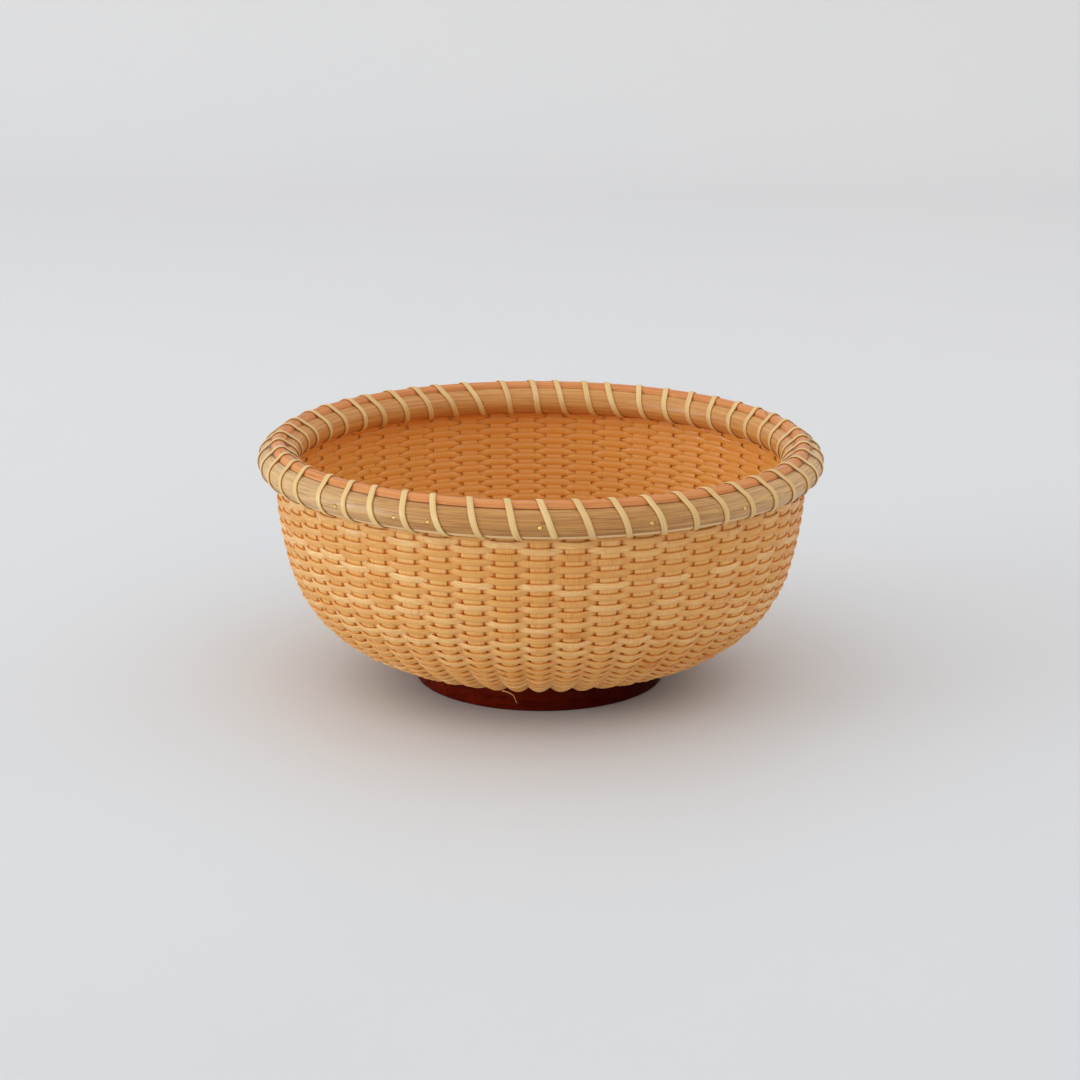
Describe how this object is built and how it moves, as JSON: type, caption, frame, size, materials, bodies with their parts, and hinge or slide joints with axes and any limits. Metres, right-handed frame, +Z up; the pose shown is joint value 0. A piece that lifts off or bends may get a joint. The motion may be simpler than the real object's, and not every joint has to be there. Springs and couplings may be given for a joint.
{
  "type": "bowl basket",
  "caption": "Open round bowl basket woven in fine cane on tapered staves, with a lashed half-round rim, brass pins and a turned dark wooden foot.",
  "frame": {"origin": "centre of the foot's underside, on the surface that the basket stands on", "axes": "+Z up along the basket's axis; -Y is the side that faces the viewer, +X to the viewer's right"},
  "size_m": [0.1709, 0.171, 0.0756],
  "materials": {
    "base_wood": "dark red-brown turned hardwood, satin varnish",
    "plug_wood": "dark hardwood peg, end grain, satin varnish",
    "stave_cane": "pale orange cane splint, satin",
    "weaver_cane": "pale golden cane with fine cross lines, satin",
    "hoop_reed": "tan-green half-round reed with its skin on, streaked, satin",
    "cap_reed": "smooth pink-orange reed, satin",
    "lash_cane": "pale cream binding cane, satin",
    "brass": "bright domed brass"
  },
  "bodies": {
    "root": {"base": "base_wood", "mould_plug": "plug_wood", "stave_01": "stave_cane", "stave_02": "stave_cane", "stave_03": "stave_cane", "stave_04": "stave_cane", "stave_05": "stave_cane", "stave_06": "stave_cane", "stave_07": "stave_cane", "stave_08": "stave_cane", "stave_09": "stave_cane", "stave_10": "stave_cane", "stave_11": "stave_cane", "stave_12": "stave_cane", "stave_13": "stave_cane", "stave_14": "stave_cane", "stave_15": "stave_cane", "stave_16": "stave_cane", "stave_17": "stave_cane", "stave_18": "stave_cane", "stave_19": "stave_cane", "stave_20": "stave_cane", "stave_21": "stave_cane", "stave_22": "stave_cane", "stave_23": "stave_cane", "stave_24": "stave_cane", "stave_25": "stave_cane", "stave_26": "stave_cane", "stave_27": "stave_cane", "stave_28": "stave_cane", "stave_29": "stave_cane", "stave_30": "stave_cane", "stave_31": "stave_cane", "stave_32": "stave_cane", "stave_33": "stave_cane", "stave_34": "stave_cane", "stave_35": "stave_cane", "stave_36": "stave_cane", "stave_37": "stave_cane", "stave_38": "stave_cane", "stave_39": "stave_cane", "stave_40": "stave_cane", "stave_41": "stave_cane", "stave_42": "stave_cane", "stave_43": "stave_cane", "stave_44": "stave_cane", "stave_45": "stave_cane", "stave_46": "stave_cane", "stave_47": "stave_cane", "stave_48": "stave_cane", "stave_49": "stave_cane", "stave_50": "stave_cane", "stave_51": "stave_cane", "weaver": "weaver_cane", "outer_hoop": "hoop_reed", "inner_hoop": "hoop_reed", "rim_cap": "cap_reed", "lashing": "lash_cane", "brass_pins": "brass"}
  },
  "joints": []
}
